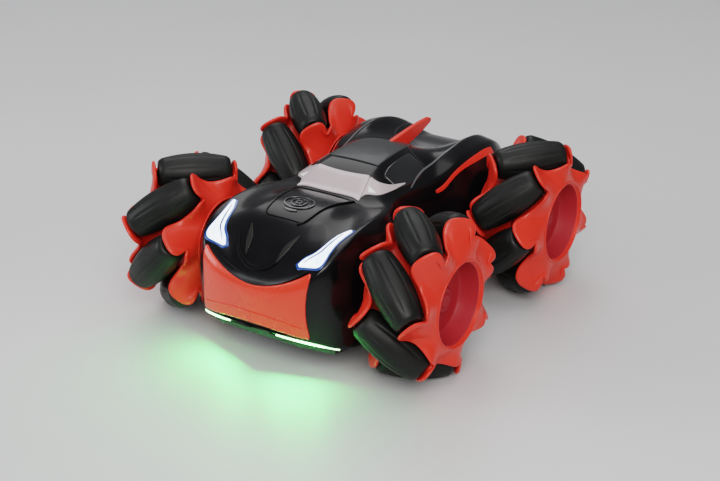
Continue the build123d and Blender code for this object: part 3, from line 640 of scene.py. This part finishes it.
def find_skin(obj):
    """Search tree of the shell, in millimetres, that the panels are laid on."""
    corners = [vert.co / MM for vert in obj.data.vertices]
    return BVHTree.FromPolygons(corners, [tuple(face.vertices) for face in obj.data.polygons])


def thicken(obj):
    """Give the skin its moulded wall."""
    modifier(obj, "SOLIDIFY", thickness=WALL * MM, offset=-1.0)
    return apply_modifiers(obj)


def dress(obj, replaces=None):
    """Fix a piece to the chassis."""
    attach(obj, "chassis")
    if replaces:
        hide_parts(replaces)


# ---------- panels laid on the shell
# A view is where a panel is seen from while it is laid: its places are (x, y) from above and (x, z)
# from the nose or the tail. Every view starts well outside the body.
VIEWS = {
    "above": (lambda a, b: Vector((a, b, 130)), Vector((0, 0, -1))),
    "nose": (lambda a, b: Vector((a, -150, b)), Vector((0, 1, 0))),
    "tail": (lambda a, b: Vector((a, 150, b)), Vector((0, -1, 0))),
}
MISS_REACH = 60         # a ray that misses takes the shell's nearest point to a place this far along it
EDGE_CREASE = 0.72      # creases of a panel's upper and lower edges
ROOT_CREASE = 0.3


def land(place, view):
    """Point and normal of the shell at a place seen from one side."""
    start, toward = VIEWS[view]
    origin = start(place[0], place[1])
    point, normal, _, _ = SKIN.ray_cast(origin, toward)
    if point is None:
        point, normal, _, _ = SKIN.find_nearest(origin + toward * MISS_REACH)
    if normal.dot(toward) > 0:
        normal = -normal
    return point, normal


def smoothed(points, steps=8):
    """Catmull-Rom line through the points."""
    path = [2 * points[0] - points[1]] + points + [2 * points[-1] - points[-2]]
    line = []
    for p0, p1, p2, p3 in zip(path, path[1:], path[2:], path[3:]):
        for step in range(steps):
            t = step / steps
            line.append(0.5 * (2 * p1 + (p2 - p0) * t + (2 * p0 - 5 * p1 + 4 * p2 - p3) * t * t
                               + (3 * p1 - p0 - 3 * p2 + p3) * t ** 3))
    return line + [points[-1]]


def along(points, count):
    """Evenly spaced places on the smooth line through the points."""
    path = [Vector(p) for p in points]
    if len(path) > 2:
        path = smoothed(path)
    reach = [0.0]
    for a, b in zip(path, path[1:]):
        reach.append(reach[-1] + (b - a).length)
    places, k = [], 0
    for index in range(count):
        goal = reach[-1] * index / (count - 1)
        while k < len(path) - 2 and reach[k + 1] < goal:
            k += 1
        part = (goal - reach[k]) / max(reach[k + 1] - reach[k], 1e-9)
        places.append(path[k].lerp(path[k + 1], part))
    return places


def panel(name, grid, look, rise, sink, replaces=None, view="above", loop=False):
    """Closed sheet laid on the shell over a grid of places, rising above it and sunk into it."""
    columns = len(grid[0])
    verts = []
    for row in grid:
        for place in row:
            point, normal = land(place, view)
            verts.append(point + normal * rise)
    obj = mesh_object(name, verts, grid_faces(len(grid), columns, wrap_rows=loop), look)
    middle = obj.data.polygons[len(obj.data.polygons) // 2]
    row, column = divmod(middle.vertices[0], columns)
    if middle.normal.dot(land(grid[row][column], view)[1]) < 0:
        obj.data.flip_normals()
    modifier(obj, "SOLIDIFY", thickness=(rise + sink) * MM, offset=-1.0, edge_crease_outer=EDGE_CREASE,
             edge_crease_inner=ROOT_CREASE)
    modifier(obj, "SUBSURF", levels=2, render_levels=2)
    dress(apply_modifiers(obj), replaces)


def band(first, second, rows, columns):
    """Grid of places between two edge lines."""
    pairs = zip(along(first, rows), along(second, rows))
    return [[a.lerp(b, k / (columns - 1)) for k in range(columns)] for a, b in pairs]


def on_side(points, side):
    """Places on the left half, or their mirror image."""
    return [(side * x, y) for x, y in points]


def stripe(points, half_widths, rows, columns=3):
    """Grid of places along a line whose half width goes through the given values."""
    line = along(points, rows)
    grid = []
    for index, place in enumerate(line):
        before, after = line[max(index - 1, 0)], line[min(index + 1, rows - 1)]
        across = Vector((-(after - before).y, (after - before).x)).normalized()
        at = index / (rows - 1) * (len(half_widths) - 1)
        low = min(int(at), len(half_widths) - 2)
        half = half_widths[low] + (half_widths[low + 1] - half_widths[low]) * (at - low)
        grid.append([place + across * half * (2 * k / (columns - 1) - 1) for k in range(columns)])
    return grid


ROD_STEPS = 6           # points of a rod for each point of its line


def rod(name, points, radius, look):
    """Round strip along a smooth line."""
    curve = bpy.data.curves.new(name, "CURVE")
    curve.dimensions = "3D"
    curve.bevel_depth = radius * MM
    curve.bevel_resolution = 4
    curve.use_fill_caps = True
    line = along(points, ROD_STEPS * len(points))
    spline = curve.splines.new("POLY")
    spline.points.add(len(line) - 1)
    for knot, place in zip(spline.points, line):
        knot.co = (*(place * MM), 1.0)
    source = new_object(name, curve)
    data = evaluated_mesh(source)
    bpy.data.objects.remove(source)
    data.materials.clear()
    data.materials.append(MAT[look])
    for face in data.polygons:
        face.use_smooth = True
    return outward(new_object(name, data))


# ---------- nose
BUMPER_HALF = 33.4      # half the bumper's width
BUMPER_TIP = 33.0       # x of the tips that its upper edge rises to beside the lamps
BUMPER_DIP = 51.0       # height of the upper edge in the middle
BUMPER_RISE = 11.6      # from there up to a tip
BUMPER_CURVE = 1.9      # power of that rise
BUMPER_FOOT = 30.0      # height of the lower edge in the middle
BUMPER_SAG = 3.0        # the lower edge's ends are this much lower
BUMPER_TUCK = 1.5       # the sides bow in by this much at half height
BUMPER_ROWS = 10
BUMPER_COLUMNS = 35
STEP_UP = 6.0           # the shallow step lies this far above the lower edge
LIP_UP = 1.6            # and the black lip this far above the upper edge
BADGE_AT = (0.0, -62.5)
BADGE_RINGS = (("rim", (8.6, 6.2), 0.9), ("roundel", (4.3, 3.9), 0.7), ("stud", (1.6, 1.5), 0.9))


def bumper_top(x):
    """Height of the bumper's upper edge: a dip below the lip that rises to a tip at each lamp."""
    return BUMPER_DIP + BUMPER_RISE * (abs(x) / BUMPER_TIP) ** BUMPER_CURVE


def bumper_foot(x):
    """Height of the bumper's lower edge, a little lower at its ends."""
    return BUMPER_FOOT - BUMPER_SAG * (x / BUMPER_TIP) ** 2


def make_bumper():
    """Red-orange U of the nose with a shallow step low on it, and the lip of the mouth."""
    grid = []
    for row in range(BUMPER_ROWS):
        v = row / (BUMPER_ROWS - 1)
        line = []
        for column in range(BUMPER_COLUMNS):
            u = 2 * column / (BUMPER_COLUMNS - 1) - 1
            x = u * (BUMPER_HALF - BUMPER_TUCK * sin(pi * v))
            line.append((x, bumper_foot(x) + (bumper_top(x) - bumper_foot(x)) * v))
        grid.append(line)
    panel("bumper_panel", grid, "bumper", 1.1, 1.2, "front_bumper", view="nose")
    crease = [(x, bumper_foot(x) + STEP_UP) for x in range(-30, 31, 10)]
    crease_grid = stripe(crease, (0.15, 0.5, 0.5, 0.15), 25)
    panel("bumper_crease", crease_grid, "bumper", 1.5, 0.2, view="nose")
    lip = [(x, bumper_top(x) + LIP_UP) for x in (-30.5, -24, -16, -8, 0, 8, 16, 24, 30.5)]
    lip_grid = stripe(lip, (0.4, 1.3, 1.6, 1.3, 0.4), 41, 5)
    panel("mouth_lip", lip_grid, "shell", 1.2, 0.6, view="nose")


def make_bonnet():
    """Raised panel under the badge, the rim of the dome, and the ridges and slits beside it."""
    side_line = [(9.6, -77.0), (12.6, -74.5), (14.6, -57.0), (17.9, -40.5)]
    middle = band(on_side(side_line, -1), side_line, 22, 11)
    panel("badge_panel", middle, "shell", 0.5, 0.8)
    rim = [(-19.0, -90.0), (-14.2, -97.0), (-7.0, -100.8), (0.0, -101.6), (6.5, -100.0), (10.2, -97.2)]
    rim_grid = stripe(rim, (0.2, 0.7, 0.9, 0.7, 0.25), 26, 5)
    panel("bonnet_rim", rim_grid, "shell", 0.7, 0.4)
    for label, side in SIDES:
        ridge = on_side([(18.6, -38.8), (15.0, -57.0), (13.0, -74.0), (9.4, -78.6)], side)
        ridge_grid = stripe(ridge, (0.3, 0.55, 0.5, 0.25), 20)
        panel(f"bonnet_ridge_{label}", ridge_grid, "shell", 0.9, 0.3)
        slit = on_side([(9.8, -97.2), (11.6, -91.2), (15.2, -84.0)], side)
        slit_grid = stripe(slit, (0.25, 1.3, 1.6, 0.9, 0.25), 14, 5)
        panel(f"bonnet_slit_{label}", slit_grid, "sheen", 0.5, 0.6)
    cowl = [(-19.8, -39.4), (-10.0, -38.2), (0.0, -38.0), (10.0, -38.2), (19.8, -39.4)]
    panel("cowl_line", stripe(cowl, (0.2, 0.45, 0.45, 0.2), 28), "shell", 0.6, 0.4)


def oval_ring(centre, radii, width, steps=40):
    """Grid of places of an oval ring."""
    lines = [oval(centre, radii[0] + grow, radii[1] + grow, steps) for grow in (-width / 2, 0, width / 2)]
    return [list(places) for places in zip(*lines)]


def make_badge():
    """Blank oval badge of raised rings, with a bar below it."""
    for name, radii, width in BADGE_RINGS:
        ring = oval_ring(BADGE_AT, radii, width)
        panel(f"badge_{name}", ring, "badge", 1.1, 0.2, loop=True)
    bar = [(-4.0, -70.4), (0.0, -70.9), (4.0, -70.4)]
    panel("badge_bar", stripe(bar, (0.5, 0.9, 0.5), 9), "badge", 1.0, 0.2)


# Edges of a lamp's lens, and the fine line that runs down it
LAMP_INNER = ((23.2, -96.9), (25.2, -93.8), (29.0, -90.4), (31.0, -86.0), (32.4, -80.5), (33.8, -75.6),
              (36.8, -69.8))
LAMP_OUTER = ((24.2, -97.7), (30.4, -97.6), (35.2, -97.0), (36.7, -93.8), (36.4, -88.5), (36.3, -82.5),
              (36.9, -77.0), (38.0, -70.0))
REFLECTOR = ((26.0, -96.0), (28.6, -93.0), (31.6, -89.6), (33.0, -85.0), (34.2, -79.5), (35.6, -74.4))
BEZEL_MARGIN = 1.3      # the bezel is wider than the lens by this on every side


def grown(grid, margin):
    """Grid of places with every edge moved outward."""
    wide = []
    for row in grid:
        across = (row[-1] - row[0]).normalized() * margin
        wide.append([place + across * (2 * k / (len(row) - 1) - 1) for k, place in enumerate(row)])
    middle = (len(grid[0]) - 1) // 2
    for end, beside in ((0, 1), (-1, -2)):
        onward = (wide[end][middle] - wide[beside][middle]).normalized() * margin
        wide[end] = [place + onward for place in wide[end]]
    return wide


def make_headlights():
    """Dagger-shaped lamps that sweep back from the nose, each in a bezel with a painted blue lamp glow."""
    for label, side in SIDES:
        shape = band(on_side(LAMP_INNER, side), on_side(LAMP_OUTER, side), 26, 8)
        # the bezel glows blue with painted lamp light
        panel(f"headlight_bezel_{label}", grown(shape, BEZEL_MARGIN), "bezel", 0.35, 0.8)
        panel(f"headlight_lens_{label}", shape, "headlight", 0.95, 0.4, "headlight_lenses")
        edge = stripe(on_side(REFLECTOR, side), (0.15, 0.4, 0.4, 0.15), 20)
        panel(f"headlight_edge_{label}", edge, "bezel", 1.3, 0.3)


# ---------- cabin
def make_glazing():
    """Pale windshield with a crescent and its bright mark at each corner, and the dark quarter panes."""
    front = [(-20.3, -36.9), (-14.6, -35.3), (0.0, -35.7), (14.6, -35.3), (20.3, -36.9)]
    rear = [(-16.7, -19.4), (-8.0, -20.7), (0.0, -21.1), (8.0, -20.7), (16.7, -19.4)]
    pane = band(front, rear, 24, 9)
    panel("windshield_pane", pane, "glazing", 0.55, 0.8, "windshield")
    for label, side in SIDES:
        low = on_side([(20.0, -34.2), (20.7, -30.6), (26.6, -26.0), (28.9, -16.5), (29.2, -3.4)], side)
        high = on_side([(16.9, -19.6), (19.6, -19.8), (23.0, -18.6), (26.6, -14.0), (28.8, -3.4)], side)
        crescent = band(low, high, 18, 6)
        panel(f"corner_pane_{label}", crescent, "glazing", 0.5, 0.8)
        short = on_side([(19.6, -25.8), (21.3, -28.9)], side)
        long = on_side([(19.9, -25.6), (25.0, -26.4)], side)
        panel(f"corner_mark_{label}", band(short, long, 7, 5), "graphic", 0.75, 0.2)
        low = on_side([(29.6, -12.0), (30.4, -2.0), (30.2, 10.0), (28.4, 19.0)], side)
        high = on_side([(21.5, -13.2), (19.5, -6.0), (18.4, 6.0), (17.6, 19.6)], side)
        quarter = band(low, high, 14, 8)
        panel(f"quarter_pane_{label}", quarter, "glass", 0.35, 0.8)


FIN_OUTLINE = ((25.0, 84.8), (31.0, 85.4), (48.0, 86.5), (62.0, 86.9), (70.4, 86.6), (72.6, 85.6),
               (71.6, 83.6), (64.0, 81.6), (54.0, 79.6), (46.0, 78.2), (41.0, 77.6), (34.0, 81.0))
FIN_TIP_END = 28.0      # the blade's thin front tip ends at this y
FIN_TIP_HALF = 0.5      # half its thickness at FIN_TOP, at the tip
FIN_HALF = 1.2          # and behind the tip
FIN_TOP = 88.0
FIN_FLARE = 0.12        # gained on each side per millimetre below FIN_TOP


def make_roof():
    """Satin roof panel and the blade that stands on the tail of the roof."""
    side_line = [(16.0, -10.2), (15.3, 8.0), (13.4, 24.0), (8.6, 36.0)]
    roof = band(on_side(side_line, -1), side_line, 20, 11)
    panel("roof_skin", roof, "satin", 0.6, 0.8, "roof_panel")
    verts = []
    for side in (1, -1):
        for y, z in FIN_OUTLINE:
            half = (FIN_TIP_HALF if y < FIN_TIP_END else FIN_HALF) + FIN_FLARE * (FIN_TOP - z)
            verts.append((side * half, y, z))
    count = len(FIN_OUTLINE)
    faces = [tuple(range(count)), tuple(reversed(range(count, 2 * count)))]
    faces += [(k, (k + 1) % count, count + (k + 1) % count, count + k) for k in range(count)]
    fin = outward(mesh_object("roof_blade", verts, faces, "orange"))
    dress(soften(fin, 0.55, 24, 3), "roof_fin")


# ---------- haunches, sides and tail
TAIL_SLATS = 3
SLAT_TOP = 54.6         # height of the uppermost slat
SLAT_PITCH = 1.7
GLOW_R = 0.7            # radius of a light strip
GLOW_LINE = ((15.0, -106.7, 26.1), (22.0, -105.7, 25.5), (30.0, -103.4, 24.4), (37.0, -98.6, 22.0),
             (43.2, -91.0, 18.4))


def make_haunches():
    """Orange trim along each rear haunch, a pale strip of painted highlight over its inner edge and the
    roof's rear seam.
    """
    for label, side in SIDES:
        inner = on_side([(36.9, 16.8), (38.9, 26.0), (40.5, 38.0), (41.2, 56.0), (41.0, 73.0)], side)
        outer = on_side([(37.3, 16.8), (39.5, 25.6), (41.6, 38.0), (43.0, 56.0), (43.0, 73.6)], side)
        trim = band(inner, outer, 22, 5)
        panel(f"haunch_trim_{label}", trim, "orange", 0.6, 0.8, "fender_trims")
        # pale strip of painted highlight along the haunch's inner edge
        line = on_side([(31.6, -1.6), (29.6, 8.0), (28.6, 18.0), (29.4, 30.0), (30.6, 44.0), (30.8, 60.0)],
                       side)
        highlight_grid = stripe(line, (0.25, 0.5, 0.45, 0.3), 30)
        panel(f"haunch_painted_highlight_{label}", highlight_grid, "painted_edge_highlight", 0.45, 0.3)
        seam = on_side([(14.6, 24.0), (20.0, 21.5), (27.0, 20.5)], side)
        seam_grid = stripe(seam, (0.3, 0.4, 0.3), 14)
        panel(f"roof_seam_{label}", seam_grid, "black", 0.25, 0.3)


def make_glow():
    """Green light strips under the nose, round its corners."""
    for label, side in SIDES:
        strip = rod(f"glow_strip_{label}", [(side * x, y, z) for x, y, z in GLOW_LINE], GLOW_R, "green")
        dress(strip, "underglow_lenses")


def make_tail():
    """Guessed rear: lamp bars, dark slats between them, an orange bumper and the edge of a boot lid."""
    for label, side in SIDES:
        high = on_side([(9.0, 55.4), (18.0, 55.6), (26.6, 55.2), (31.4, 53.0)], side)
        low = on_side([(9.4, 52.8), (18.0, 52.4), (25.4, 51.0), (31.6, 47.6)], side)
        panel(f"tail_lamp_{label}", band(high, low, 16, 4), "tail", 0.8, 0.8, view="tail")
        lid = on_side([(23.6, 100.0), (22.6, 84.0), (19.6, 66.0), (13.0, 57.0)], side)
        lid_grid = stripe(lid, (0.2, 0.45, 0.45, 0.2), 30)
        panel(f"boot_line_{label}", lid_grid, "black", 0.3, 0.3)
    for index in range(TAIL_SLATS):
        z = SLAT_TOP - SLAT_PITCH * index
        slat = stripe([(-6.8, z), (0.0, z - 0.1), (6.8, z)], (0.3, 0.45, 0.3), 12)
        panel(f"tail_slat_{index + 1}", slat, "satin", 0.6, 0.4, view="tail")
    top = [(x, 46.4 + 1.6 * (x / 30) ** 2) for x in (-31, -20, -10, 0, 10, 20, 31)]
    foot = [(x, 40.6 + 1.2 * (x / 30) ** 2) for x in (-32, -20, -10, 0, 10, 20, 32)]
    panel("tail_bumper", band(top, foot, 30, 5), "bumper", 1.0, 1.0, view="tail")


def make_axle_collars():
    """Rings where the drive shafts leave the body."""
    outline = ((49.0, 2.6), (52.6, 2.6), (52.9, 3.0), (52.9, 5.2), (52.3, 6.2), (50.6, 7.6), (49.0, 7.9))
    for name in WHEEL_NAMES:
        centre, side = wheel_frame(name)
        centre.x = 0
        ring = lathe(f"axle_collar_{name}", outline, "black", 40)
        dress(on_axle(ring, centre, side))


# ---------- camera, lights, floor
CAMERA_AT = Vector((0.39217, -0.60922, 0.37188))
CAMERA_TARGET = Vector((0.00117, -0.00617, 0.0360))
CAMERA_ROLL = -0.34     # degrees
CAMERA_LENS = 69.74     # millimetres, on a sensor 36 mm wide
LIGHT_AIM = (0, 0, 0.04)
WORLD_COLOUR = (0.85, 0.87, 0.9, 1)
WORLD_STRENGTH = 0.22
FLOOR_R = 4000.0
FLOOR_FLAT_R = 1500.0   # the floor is flat as far as this
FLOOR_RISE = 900.0      # and rises by this much to its rim
FLOOR_SINK = 0.05       # below the wheels
FLOOR_RINGS = 24
FLOOR_SPREAD = 1.5      # power that spaces the rings wider outward
FLOOR_STEPS = 96


def look_at(place, target):
    """Pose of a camera or lamp at a place, facing the target."""
    look = (Vector(target) - Vector(place)).to_track_quat("-Z", "Y").to_matrix().to_4x4()
    return Matrix.Translation(place) @ look


def make_camera():
    """Camera at the photo's viewing angle, with the lens fitted to it."""
    data = bpy.data.cameras.new("view_camera")
    data.lens = CAMERA_LENS
    data.sensor_width = 36.0
    camera = new_object("view_camera", data)
    roll = Matrix.Rotation(radians(CAMERA_ROLL), 4, "Z")
    camera.matrix_world = look_at(CAMERA_AT, CAMERA_TARGET) @ roll
    bpy.context.scene.camera = camera


def area_light(name, place, aim, size, power, colour=(1, 1, 1)):
    """Soft rectangular lamp; places and sizes are in metres."""
    data = bpy.data.lights.new(name, "AREA")
    data.shape = "RECTANGLE"
    data.size, data.size_y = size
    data.energy = power
    data.color = colour
    new_object(name, data).matrix_world = look_at(place, aim)


def make_lights():
    """Soft studio light, the green pool under the nose and a dim sky."""
    area_light("key_light", (0.75, -0.95, 0.95), LIGHT_AIM, (0.9, 0.7), 15.0, (1.0, 0.98, 0.95))
    area_light("fill_light", (-0.95, -0.75, 0.5), LIGHT_AIM, (0.7, 0.5), 5.0, (0.95, 0.97, 1.0))
    area_light("top_light", (0.1, 0.0, 1.5), LIGHT_AIM, (1.5, 1.5), 10.0)
    area_light("rim_light", (-0.7, 0.8, 1.2), LIGHT_AIM, (0.9, 0.9), 5.0)
    for label, side in SIDES:
        area_light(f"underglow_light_{label}", (side * 0.022, -0.101, 0.016), (side * 0.05, -0.19, 0.0),
                   (0.03, 0.008), 0.06, (0.05, 1.0, 0.12))
    world = bpy.data.worlds.new("studio")
    world.use_nodes = True
    world.node_tree.nodes["Background"].inputs["Color"].default_value = WORLD_COLOUR
    world.node_tree.nodes["Background"].inputs["Strength"].default_value = WORLD_STRENGTH
    bpy.context.scene.world = world
    bpy.context.scene.view_settings.view_transform = "Filmic"
    bpy.context.scene.view_settings.look = "Medium High Contrast"


def make_floor():
    """Pale studio sweep: flat round the car and rising far away in every direction."""
    verts = []
    for ring in range(FLOOR_RINGS + 1):
        radius = FLOOR_R * (ring / FLOOR_RINGS) ** FLOOR_SPREAD
        height = FLOOR_RISE * max(0.0, (radius - FLOOR_FLAT_R) / (FLOOR_R - FLOOR_FLAT_R)) ** 2
        verts += [(*place, height - FLOOR_SINK) for place in oval((0, 0), radius, radius, FLOOR_STEPS)]
    faces = grid_faces(FLOOR_RINGS + 1, FLOOR_STEPS, wrap_columns=True)
    floor = mesh_object("studio_floor", verts, faces, "floor")


# ---------- finishes of the CAD pieces
CAD_FINISH = {
    "chassis_tub": "black", "gearbox_covers": "black", "battery_door": "black", "power_switch": "black",
    "upper_shell": "shell", "front_bumper": "bumper", "windshield": "glazing", "roof_panel": "satin",
    "roof_fin": "orange", "fender_trims": "orange", "headlight_lenses": "headlight",
    "underglow_lenses": "green", "motors": "steel", "battery_pack": "wrap", "circuit_board": "board",
    "screws": "zinc",
}


def finish_cad():
    """Finish of every CAD node: brass pinions, and steel for what CAD_FINISH doesn't name."""
    for node, obj in frame["nodes"].items():
        kind = CAD_FINISH.get(node)
        if kind is None:
            kind = "brass" if node.startswith("motor_pinion") else "steel"
        obj.data.materials.clear()
        obj.data.materials.append(MAT[kind])


make_camera()
make_lights()
make_floor()
finish_cad()
make_rollers()
make_hubs()
shell = body_surface()
SKIN = find_skin(shell)
dress(thicken(shell), "upper_shell")
make_bumper()
make_bonnet()
make_badge()
make_headlights()
make_glazing()
make_roof()
make_haunches()
make_glow()
make_tail()
make_axle_collars()
